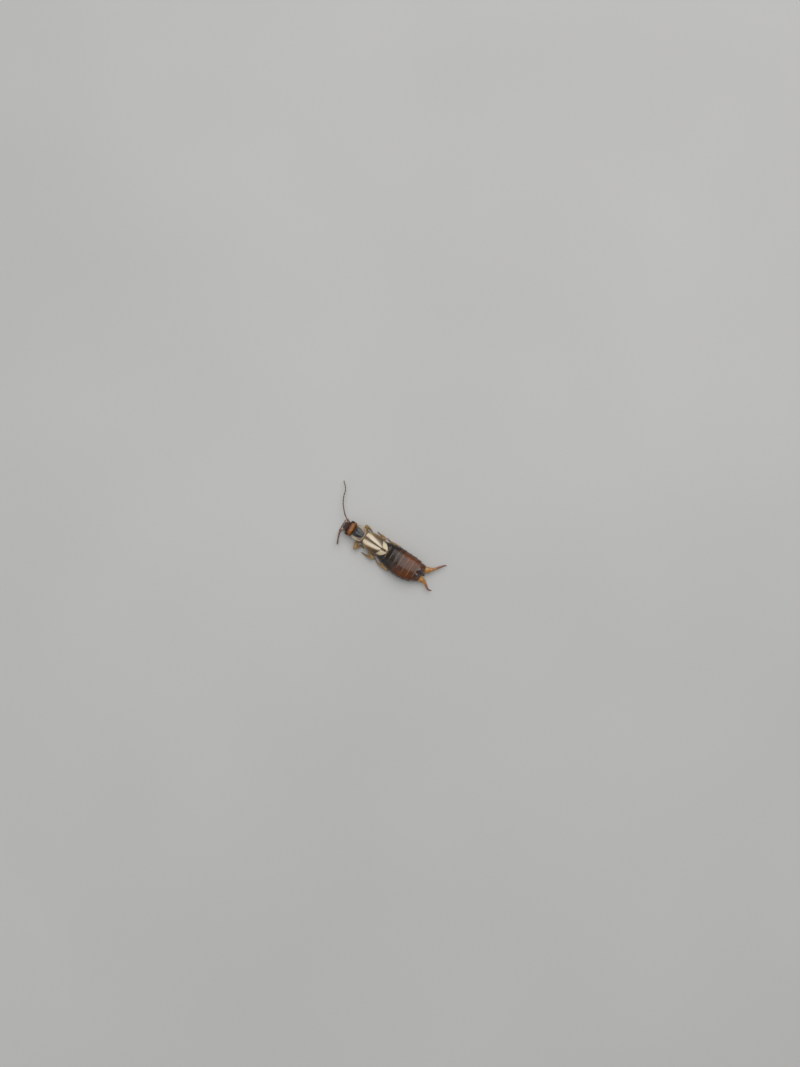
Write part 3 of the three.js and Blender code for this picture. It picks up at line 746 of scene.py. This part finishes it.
def scatter(name, base, unit, finish, on_points=False, density=400.0, seed=1, lean=(0, 0, 0)):
    """Geometry Nodes: copies of a small mesh on a surface, turned to its normal, as one plain mesh."""
    unit_object = add_object(f"{name}_unit", unit)
    host = add_object(f"{name}_host", base)
    tree = bpy.data.node_groups.new(f"{name}_tree", "GeometryNodeTree")
    for label, way in (("Surface", "INPUT"), ("Result", "OUTPUT")):
        tree.interface.new_socket(label, in_out=way, socket_type="NodeSocketGeometry")
    surface = tree.nodes.new("NodeGroupInput").outputs["Surface"]
    if on_points:
        capture = tree.nodes.new("GeometryNodeCaptureAttribute")
        capture.capture_items.new("VECTOR", "Facing")
        tree.links.new(surface, capture.inputs["Geometry"])
        tree.links.new(tree.nodes.new("GeometryNodeInputNormal").outputs[0], capture.inputs["Facing"])
        points = add_node(tree, "GeometryNodeMeshToPoints", {"Mesh": capture.outputs["Geometry"]})["Points"]
        facing = capture.outputs["Facing"]
    else:
        spots = add_node(tree, "GeometryNodeDistributePointsOnFaces",
                         {"Mesh": surface, "Density": density, "Seed": seed})
        points, facing = spots["Points"], spots["Normal"]
    shape = add_node(tree, "GeometryNodeObjectInfo", {"Object": unit_object})["Geometry"]
    leaning = add_node(tree, "ShaderNodeVectorMath", {0: facing, 1: lean}, operation="ADD")[0]
    turn = add_node(tree, "FunctionNodeAlignRotationToVector", {"Vector": leaning}, axis="Z")["Rotation"]
    smallest, largest = 0.7, 1.2
    size = add_node(tree, "FunctionNodeRandomValue", {2: smallest, 3: largest, "Seed": seed},
                    data_type="FLOAT")[1]
    copies = add_node(tree, "GeometryNodeInstanceOnPoints",
                      {"Points": points, "Instance": shape, "Rotation": turn, "Scale": size})["Instances"]
    real = add_node(tree, "GeometryNodeRealizeInstances", {"Geometry": copies})["Geometry"]
    coated = add_node(tree, "GeometryNodeSetMaterial", {"Geometry": real, "Material": finish})["Geometry"]
    add_node(tree, "NodeGroupOutput", {"Result": coated})

    modifier = host.modifiers.new("scatter", "NODES")
    modifier.node_group = tree
    bpy.context.view_layer.update()
    mesh = bpy.data.meshes.new_from_object(host.evaluated_get(bpy.context.evaluated_depsgraph_get()))
    mesh.name = name
    host.modifiers.remove(modifier)
    bpy.data.objects.remove(host)
    bpy.data.objects.remove(unit_object)
    return add_object(name, mesh)


def eyes():
    facet = bpy.data.meshes.new("eye_facet")
    cap = bmesh.new()
    bmesh.ops.create_uvsphere(cap, u_segments=6, v_segments=5, radius=EYE_FACET * MM)
    cap.to_mesh(facet)
    cap.free()
    x, y, z = EYE_PLACE
    for label, side in SIDES:
        centre = Vector((spine_x(y) + side * x, y, z))
        ball = bpy.data.meshes.new(f"eye_{label}_ball")
        shape = bmesh.new()
        bmesh.ops.create_icosphere(shape, subdivisions=5, radius=1.0)
        for v in shape.verts:
            v.co = (centre + v.co * EYE_RADII) * MM
        shape.to_mesh(ball)
        shape.free()
        # A small dome stands on every point of the ball
        domes = scatter(f"eye_{label}_facets", ball, facet, EYE, on_points=True)
        rings = []
        for t in spaced(0, math.pi, 24):
            flat = max(math.sin(t), 0.02)
            place = centre + Vector((-math.cos(t) * EYE_RADII.x * side, 0, 0))
            rings.append(ring(place, Vector((side, 0, 0)), UP, EYE_RADII.y * flat, EYE_RADII.z * flat, 32))
        form = Form()
        form.tube(rings, [0.0] * 25)
        form.finish(f"eye_{label}_globe", EYE, "eye", f"eye_{label}")
        hand_over(domes, "eye")


# Palps, as joints' ends beside the middle line and the joints' half widths
OUTER_PALP = ([(0.34, -8.4, 0.5), (0.5, -8.52, 0.48), (0.66, -8.62, 0.5), (0.76, -8.78, 0.54),
               (0.84, -9.0, 0.56), (0.9, -9.22, 0.52)], [0.075, 0.07, 0.075, 0.07, 0.05])
INNER_PALP = ([(0.14, -8.5, 0.34), (0.2, -8.68, 0.32), (0.26, -8.86, 0.32), (0.3, -9.02, 0.3)],
              [0.06, 0.06, 0.05])
JAW_PATH = [(0.4, -8.42, 0.66), (0.4, -8.72, 0.62), (0.26, -8.94, 0.56), (0.05, -9.04, 0.52)]
JAW_THICK = profile([(0, 0.17), (0.4, 0.15), (0.8, 0.08), (1, 0.02)])


def mouthparts():
    form = Form()

    def upper_lip(u, v):
        side = 2 * u - 1
        y = mix(-8.66, -9.0, v)
        x = spine_x(y) + 0.34 * math.sqrt(max(1 - (v * 0.92) ** 3, 0.02)) * side
        z = 0.96 - 0.28 * v ** 1.4 - 0.08 * side ** 2
        return Vector((x, y, z)), Vector((x, y, z - 0.1 + 0.05 * v))

    form.sheet(spaced(0, 1, 18), spaced(0, 1, 20), upper_lip, lambda v: 0.55 - 0.2 * v)
    middle = spine_x(-8.6)
    for side in (-1, 1):
        # Jaw: broad at its root, curved in to a dark tip
        path = smooth_path([(middle + side * x, y, z) for x, y, z in JAW_PATH], 22)
        marks = spaced(0, 1, 22)
        form.tube([ring(p, d, UP, JAW_THICK(t), JAW_THICK(t) * 0.8, 18) for (p, d), t in zip(path, marks)],
                  [0.4 + 0.6 * t for t in marks])
        for knots, half_widths in (OUTER_PALP, INNER_PALP):
            ends = [Vector((middle + side * x, y, z)) for x, y, z in knots]
            for a, b, wide in zip(ends, ends[1:], half_widths):
                reach = (b - a).normalized() * 0.02
                shape = profile([(0, 0.7 * wide), (0.25, 0.9 * wide), (0.8, wide * 1.08), (1, 0.8 * wide)])
                limb(form, a - reach, b + reach, shape, marks=(0.0, 0.35), sides=12, count=10)
    # Lower lip under the jaws
    rings = []
    for t in spaced(0, 1, 16):
        y = mix(-8.0, -8.86, t)
        wide = 0.42 * (1 - 0.45 * t) * math.sqrt(max(1 - (2 * abs(t - 0.5)) ** 6, 0.03))
        centre = Vector((spine_x(y), y, 0.42 - 0.06 * t))
        rings.append(ring(centre, Vector((0, -1, 0)), UP, wide, 0.13 * (1 - 0.4 * t), 24))
    form.tube(rings, [0.2] * 17)
    form.finish("mouthparts_jaws_palps", JAWS, "mouthparts", "mouthparts")


FEELER_PATHS = {
    "right": [(-0.6, -8.52, 1.0), (-0.95, -9.1, 1.12), (-1.25, -9.55, 1.16), (-1.58, -9.9, 1.12),
              (-2.38, -10.6, 1.0), (-3.3, -11.09, 0.86), (-4.22, -11.42, 0.76), (-5.06, -12.24, 0.62)],
    "left": [(0.36, -8.52, 1.0), (0.78, -8.84, 1.18), (1.5, -8.74, 1.34), (2.2, -8.5, 1.3),
             (2.54, -8.38, 0.92), (2.25, -8.5, 0.48), (1.65, -8.84, 0.34), (0.9, -9.12, 0.3),
             (0.1, -9.2, 0.28), (-0.75, -9.2, 0.26)],
}
# Shares of the feeler's length: long first joint, tiny second, then a thread that lengthens outwards
FEELER_JOINTS = [0.13, 0.03, 0.055, 0.045, 0.05, 0.058, 0.066, 0.07, 0.074, 0.076, 0.078, 0.078, 0.076, 0.07,
                 0.064]
FIRST_JOINT = profile([(0, 0.6), (0.12, 0.95), (0.6, 1.0), (0.92, 1.12), (1, 0.72)])
THREAD_JOINT = profile([(0, 0.62), (0.15, 0.8), (0.75, 1.08), (0.93, 1.0), (1, 0.6)])


def feeler(label, path):
    form = Form()
    total = sum(FEELER_JOINTS)
    fine = smooth_path(path, 600)
    start = 0.0
    for k, share in enumerate(FEELER_JOINTS):
        end = start + share / total
        thick = 0.105 if k == 0 else 0.075 if k == 1 else mix(0.088, 0.062, (k - 2) / 12)
        shape = FIRST_JOINT if k == 0 else THREAD_JOINT
        rings, alongs = [], []
        for t in spaced(0, 1, 14):
            place, forward = fine[min(round(mix(start, end, t) * 600), 600)]
            cap = math.sqrt(max(1 - (1 - min(min(t, 1 - t) / 0.08, 1)) ** 2, 0.1))
            wide = thick * shape(t) * cap
            rings.append(ring(place, forward, Vector((0.2, 0.3, 1)), wide, wide, 14))
            alongs.append(mix(start, end, t))
        first = len(form.points)
        form.tube(rings, alongs)
        # The second value runs along each joint, for its pale ends
        for i in range(first, len(form.points)):
            form.across[i] = clamp((form.along[i] - start) / (end - start))
        start = end
    form.finish(f"antenna_{label}_joints", FEELER, "feeler", f"antenna_{label}")


def plate(name, material, slot, node, surface, thick, rows, columns, wide, long):
    """A thin curved plate under surface(u, v), its rim rounded; wide and long are its size."""
    small = 1e-3

    def point(u, v):
        # The corners are drawn in a little, so that none ends in a spike
        return surface(0.5 + (u - 0.5) * (1 - 0.06 * abs(2 * v - 1) ** 14),
                       0.5 + (v - 0.5) * (1 - 0.06 * abs(2 * u - 1) ** 14))

    def both_sides(u, v):
        # The slope is read a little inside the rim, where the surface is even
        su, sv = clamp(u, 0.02, 0.98), clamp(v, 0.02, 0.98)
        along_u = point(su + small, sv) - point(su - small, sv)
        along_v = point(su, sv + small) - point(su, sv - small)
        normal = along_u.cross(along_v).normalized()
        if normal.z < 0:
            normal = -normal
        border = min(min(u, 1 - u) * wide, min(v, 1 - v) * long)
        near = 1 - min(border / (0.7 * thick), 1)
        rim = 0.5 + 0.5 * math.sqrt(1 - near * near)
        return point(u, v) - normal * (thick * (1 - rim)), point(u, v) - normal * (thick * rim)

    form = Form()
    form.sheet(crowded(rows), crowded(columns), both_sides)
    form.finish(name, material, slot, node, sharp=180)


PRONOTUM_WIDTH = profile([(0, 0.86), (0.08, 0.95), (0.3, 1.0), (0.75, 1.0), (1, 0.9)])


def pronotum():
    def surface(u, v):
        side = 2 * u - 1
        y = mix(PRONOTUM_FRONT + 0.05 * abs(side) ** 2, PRONOTUM_REAR - 0.42 * abs(side) ** 3.5, v)
        x = spine_x(y) + side * PRONOTUM_HALF_WIDTH * PRONOTUM_WIDTH(clamp(v))
        z = PRONOTUM_CROWN - 0.64 * (v - 0.45) ** 2 * (1 - side * side) - 0.3 * side ** 2 + 0.08 * side ** 6
        disc = bump(abs(side) - 0.26, 0.2) * bump(v - 0.3, 0.22)
        groove = bump(side, 0.03) * bump(v - 0.42, 0.34)
        hollow = bump(abs(side) - 0.72, 0.1)
        return Vector((x, y, z + 0.05 * disc - 0.022 * groove - 0.045 * hollow))

    plate("pronotum_shield", SHIELD, "shield", "pronotum", surface, PRONOTUM_THICK, rows=64, columns=96,
          wide=2.1, long=1.6)


TEGMEN_OUTLINE = profile([(0, 1.06), (0.1, 1.18), (0.25, 1.25), (0.7, 1.27), (1, 1.2)])


def tegmen(label, side):
    inner = 0.012

    def surface(u, v):
        front = TEGMEN_FRONT + 0.42 * max(u, 0) ** 4
        rear = mix(TEGMEN_REAR_INNER - 0.04, TEGMEN_REAR_OUTER, u) - 0.05 * (1 - u) ** 6
        y = mix(front, rear, v)
        x = spine_x(y) + side * mix(inner, TEGMEN_OUTLINE(clamp(v)), u)
        crown = TEGMEN_CROWN - 0.28 * (1 - min(v * 2.2, 1)) ** 2
        fold = 0.62 * max(u, 0) ** 5 + 0.1 * u * u
        seam = 0.05 * bump(u, 0.07)
        shoulder = 0.03 * bump(u - 0.66, 0.14) * bump(v - 0.2, 0.2)
        return Vector((x, y, crown - fold - seam + shoulder))

    plate(f"tegmen_{label}_cover", WING_COVER, "wing_cover", f"tegmen_{label}", surface, TEGMEN_THICK,
          rows=76, columns=56, wide=1.4, long=2.7)


def wing_tip(label, side):
    inner = 0.01

    def surface(u, v):
        front = mix(TEGMEN_REAR_INNER, TEGMEN_REAR_OUTER, 0.9 * u) - 0.16
        rear = WING_TIP_REAR - 0.66 * max(u, 0) ** 1.8 - 0.1 * (1 - u) ** 8
        y = mix(front, rear, v)
        x = spine_x(y) - 0.04 * v + side * mix(inner, WING_TIP_HALF_WIDTH - 0.15 * v, u)
        z = WING_TIP_CROWN - 0.1 * v * v - 0.3 * u * u - 0.2 * max(u, 0) ** 5 - 0.05 * bump(u, 0.08) * v
        ridge = 0.025 * bump(u - 0.42 + 0.2 * v, 0.1)
        return Vector((x, y, z + ridge))

    plate(f"wing_tip_{label}_fold", WING_TIP, "wing_tip", f"wing_tip_{label}", surface, WING_TIP_THICK,
          rows=48, columns=44, wide=1.1, long=1.0)


def last_tergite():
    def lift(x, y, angle):
        up = max(math.cos(angle), 0) ** 0.6
        swell = 0.17 * bump(abs(x) - 0.4, 0.2) * bump(y - 2.82, 0.19)
        dip = 0.12 * bump(x, 0.1) * bump(y - 2.82, 0.3)
        side_dip = 0.05 * bump(abs(x) - 0.86, 0.12) * bump(y - 2.9, 0.2)
        edge = 0.03 * bump(y - 3.16, 0.05)
        return (swell - dip - side_dip + edge) * up

    # The rings lie closer together towards the rear
    marks = [1 - (1 - t) ** 1.6 for t in spaced(0, 1, 70)]
    rings = LAST_TERGITE.rings([mix(LAST_TERGITE_FRONT, LAST_TERGITE_REAR, t) for t in marks], 120, lift)
    alongs = [0.7 * t for t in marks]
    # The rear face sinks in towards the forceps' roots
    rear_ring = rings[-1]
    for shrink, y in ((0.9, 3.2), (0.7, 3.1), (0.4, 3.02)):
        middle = Vector((spine_x(3.2), y, 0.82))
        shrunk = [middle + (p - middle) * shrink for p in rear_ring]
        rings.append([Vector((p.x, y, p.z)) for p in shrunk])
        alongs.append(0.9)
    form = Form()
    form.tube(rings, alongs)
    # Pygidium: the small blunt plate between the forceps
    limb(form, (-0.12, 3.0, 0.86), (-0.13, 3.56, 0.84), profile([(0, 0.2), (0.6, 0.17), (1, 0.12)]), flat=0.8,
         marks=(0.6, 0.9), sides=20)
    form.finish("last_tergite_plate", TAIL_PLATE, "abdomen_shell", "last_tergite")


FORCEPS_PATHS = {
    "left": [(0.5, 2.95, 0.76), (0.56, 3.4, 0.72), (0.6, 3.96, 0.66), (0.84, 4.4, 0.62), (1.1, 4.75, 0.6),
             (1.17, 5.1, 0.62), (1.03, 5.44, 0.66)],
    "right": [(-0.78, 2.95, 0.76), (-0.92, 3.4, 0.72), (-1.22, 3.86, 0.66), (-1.6, 4.28, 0.62),
              (-2.2, 4.75, 0.6), (-2.62, 5.1, 0.62), (-2.79, 5.43, 0.66)],
}
FORCEPS_WIDE = profile([(0, 0.42), (0.16, 0.4), (0.34, 0.27), (0.5, 0.17), (0.72, 0.135), (0.9, 0.095),
                        (1, 0.015)])
FORCEPS_HIGH = profile([(0, 0.3), (0.2, 0.26), (0.5, 0.16), (0.9, 0.09), (1, 0.014)])


def forceps(label, side):
    rings = []
    marks = spaced(0, 1, 90)
    for t, (place, forward) in zip(marks, smooth_path(FORCEPS_PATHS[label], 90)):
        # Blunt teeth stand along the inner edge of the broad root
        teeth = max(math.sin(t * 118), 0) * 0.035 * bump(t - 0.22, 0.11)
        up = (UP - forward * forward.z).normalized()
        across = forward.cross(up)
        points = []
        for j in range(36):
            angle = 2 * math.pi * j / 36
            c, s = math.cos(angle), math.sin(angle)
            inward = max(c * -side, 0)
            keel = 1 + 0.14 * inward ** 3 * bump(t - 0.18, 0.2)
            reach = FORCEPS_WIDE(t) * c * keel + teeth * inward ** 6 * -side
            points.append(place + across * reach + up * (FORCEPS_HIGH(t) * s))
        rings.append(points)
    form = Form()
    form.tube(rings, marks)
    form.finish(f"forceps_{label}_blade", FORCEPS, "forceps", f"forceps_{label}")


# Each leg's hip, knee, ankle and toe
LEGS = {
    "leg_front_left": [(0.66, -6.42, 0.5), (1.86, -6.14, 0.8), (0.98, -5.66, 0.36), (1.12, -5.2, 0.1)],
    "leg_front_right": [(-0.84, -6.1, 0.44), (-1.62, -6.4, 0.72), (-1.44, -5.64, 0.36), (-1.26, -5.14, 0.1)],
    "leg_mid_left": [(0.86, -4.48, 0.5), (1.68, -3.36, 0.82), (1.76, -4.46, 0.36), (1.74, -5.08, 0.1)],
    "leg_mid_right": [(-0.94, -4.4, 0.5), (-1.48, -3.34, 0.78), (-1.62, -4.22, 0.34), (-1.72, -4.74, 0.1)],
    "leg_hind_left": [(0.82, -3.22, 0.45), (1.92, -0.95, 0.7), (1.82, -2.5, 0.4), (1.46, -3.24, 0.1)],
    "leg_hind_right": [(-0.92, -3.2, 0.45), (-1.56, -1.12, 0.6), (-1.52, -2.5, 0.26), (-1.68, -3.16, 0.1)],
}
COXA = profile([(0, 0.24), (0.5, 0.25), (1, 0.16)])
TROCHANTER = profile([(0, 0.13), (0.5, 0.15), (1, 0.13)])
FEMUR = profile([(0, 0.15), (0.3, 0.25), (0.6, 0.235), (0.88, 0.16), (1, 0.14)])
TIBIA = profile([(0, 0.11), (0.12, 0.135), (0.5, 0.15), (0.9, 0.13), (1, 0.11)])
CLAW_THICK = profile([(0, 0.026), (0.5, 0.02), (1, 0.004)])
# The foot's joints: start and end as shares of its length, and half width
TARSUS = [(0.0, 0.5, 0.082), (0.46, 0.66, 0.09), (0.62, 0.96, 0.07)]


def leg(name, places):
    hip, knee, ankle, toe = (Vector(p) for p in places)
    thigh, shin, foot = (knee - hip).normalized(), (ankle - knee).normalized(), toe - ankle
    side = 1 if name.endswith("left") else -1
    root = Vector((spine_x(hip.y) + side * 0.34, hip.y - 0.08, 0.34))
    form = Form()
    limb(form, root, hip + thigh * 0.06, COXA, marks=(0.0, 0.06), count=14)
    limb(form, hip - thigh * 0.08, hip + thigh * 0.22, TROCHANTER, marks=(0.04, 0.1), count=10)
    limb(form, hip + thigh * 0.08, knee + thigh * 0.12, FEMUR, flat=0.82, marks=(0.1, 0.48), sides=20,
         count=26)
    limb(form, knee - shin * 0.06, ankle + shin * 0.04, TIBIA, marks=(0.52, 0.78), sides=18, count=22)
    for start, end, wide in TARSUS:
        limb(form, ankle + foot * start, ankle + foot * end,
             profile([(0, 0.7 * wide), (0.7, wide), (1, 0.75 * wide)]), marks=(0.8, 0.95), sides=14, count=12)
    form.finish(f"{name}_joints", LEG, "leg", name)
    claws = Form()
    forward = foot.normalized()
    tip = ankle + foot * 0.94
    for spread in (-1, 1):
        across = forward.cross(UP).normalized() * spread
        path = smooth_path([tip, tip + forward * 0.07 + across * 0.05 + UP * 0.01,
                            tip + forward * 0.12 + across * 0.07 - UP * 0.035], 8)
        marks = spaced(0, 1, 8)
        claws.tube([ring(Vector((p.x, p.y, max(p.z, 0.03))), d, UP, CLAW_THICK(t), CLAW_THICK(t), 8)
                    for (p, d), t in zip(path, marks)], marks)
    claws.finish(f"{name}_claws", CLAW, "leg")


def hair_unit(length):
    """One short bristle, a three-sided spike that stands on its root."""
    mesh = bpy.data.meshes.new("bristle")
    corners = [(HAIR_THICK * math.cos(a), HAIR_THICK * math.sin(a), 0) for a in (0, 2.094, 4.189)]
    middle = [(0.6 * x + 0.12 * length, 0.6 * y, 0.55 * length) for x, y, _ in corners]
    points = corners + middle + [(0.34 * length, 0, length)]
    faces = [(0, 2, 1)]
    for a, b in ((0, 1), (1, 2), (2, 0)):
        faces.append((a, b, b + 3, a + 3))
        faces.append((a + 3, b + 3, 6))
    mesh.from_pydata([Vector(p) * MM for p in points], [], faces)
    return mesh


def bristles():
    """Short hairs on the feelers, legs, jaws and the abdomen's rear."""
    # Each host piece with its hairs' length, number per square millimetre, lean and slot
    coats = (
        ("antenna_left_joints", 0.07, 60, (0, 0, 0.2), "feeler"),
        ("antenna_right_joints", 0.07, 60, (-0.5, -0.6, 0), "feeler"),
        ("forceps_left_blade", 0.07, 8, (0, 0.8, 0), "forceps"),
        ("forceps_right_blade", 0.07, 8, (0, 0.8, 0), "forceps"),
        ("last_tergite_plate", 0.06, 5, (0, 0.9, 0), "abdomen_shell"),
        ("abdomen_belly_plates", 0.07, 4, (0, 1.2, 0), "abdomen_shell"),
        ("mouthparts_jaws_palps", 0.05, 30, (0, -0.8, 0), "mouthparts"),
        *((f"{name}_joints", 0.09, 34, (0, 0.4, -0.3), "leg") for name in LEGS),
    )
    for seed, (host, length, per_square_mm, lean, slot) in enumerate(coats, 11):
        base = bpy.data.objects[host].data.copy()
        piece = scatter(f"{host}_bristles", base, hair_unit(length), HAIR, density=per_square_mm / MM ** 2,
                        seed=seed, lean=lean)
        hand_over(piece, slot)


def camera():
    """The camera looks nearly straight down, as the photo does, from about 106 millimetres away."""
    place = Vector((4.7, 2.8, 106.2)) * MM
    aim = Vector((-3.06, -2.12, 1.0)) * MM
    picture_up = Vector((-0.844, -0.536, 0.0))
    back = (place - aim).normalized()
    right = picture_up.cross(back).normalized()
    turn = Matrix((right, back.cross(right), back)).transposed().to_4x4()
    lens = bpy.data.cameras.new("camera")
    lens.lens = 27
    lens.sensor_width = 36
    lens.clip_start = 0.001
    lens.clip_end = 10
    body = add_object("camera", lens)
    body.matrix_world = Matrix.Translation(place) @ turn
    bpy.context.scene.camera = body


def lamp(name, direction, size, power, colour):
    light = bpy.data.lights.new(name, "AREA")
    light.shape = "RECTANGLE"
    light.size, light.size_y = size
    light.energy = power
    light.color = colour
    way = Vector(direction).normalized()
    holder = add_object(name, light)
    holder.location = way * 0.4
    holder.rotation_euler = way.to_track_quat("Z", "Y").to_euler()


def room():
    reach, drop = 1.2, 2e-5
    mesh = bpy.data.meshes.new("floor")
    corners = ((-reach, -reach), (reach, -reach), (reach, reach), (-reach, reach))
    mesh.from_pydata([(x, y, -drop) for x, y in corners], [], [(0, 1, 2, 3)])
    floor = add_object("floor", mesh)
    pale = Finish("pale_floor", 0.6)
    pale.colour(pale.ramp(pale.noise(0.02, 2), [(0.3, (0.56, 0.56, 0.55)), (0.7, (0.6, 0.6, 0.59))]))
    mesh.materials.append(pale.material)
    floor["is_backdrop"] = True
    lamp("soft_key", (-0.38, -0.1, 0.9), (0.44, 0.56), 1.35, (1.0, 0.985, 0.96))
    lamp("soft_fill", (0.7, -0.5, 0.6), (0.3, 0.3), 0.1, (0.92, 0.96, 1.0))
    world = bpy.data.worlds.new("studio")
    world.use_nodes = True
    background = world.node_tree.nodes["Background"]
    background.inputs[0].default_value = (0.95, 0.97, 1.0, 1)
    background.inputs[1].default_value = 0.26
    bpy.context.scene.world = world
    bpy.context.scene.view_settings.view_transform = "Standard"


camera()
room()
abdomen_plates()
body_skin()
chest_plates()
head()
eyes()
mouthparts()
for label, path in FEELER_PATHS.items():
    feeler(label, path)
pronotum()
for label, side in SIDES:
    tegmen(label, side)
    wing_tip(label, side)
last_tergite()
for label, side in SIDES:
    forceps(label, side)
for name, places in LEGS.items():
    leg(name, places)
bristles()

boxes = {"cad": cad_box, "visual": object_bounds()}
{key: [[float(v) for v in corner] for corner in box] for key, box in boxes.items()}
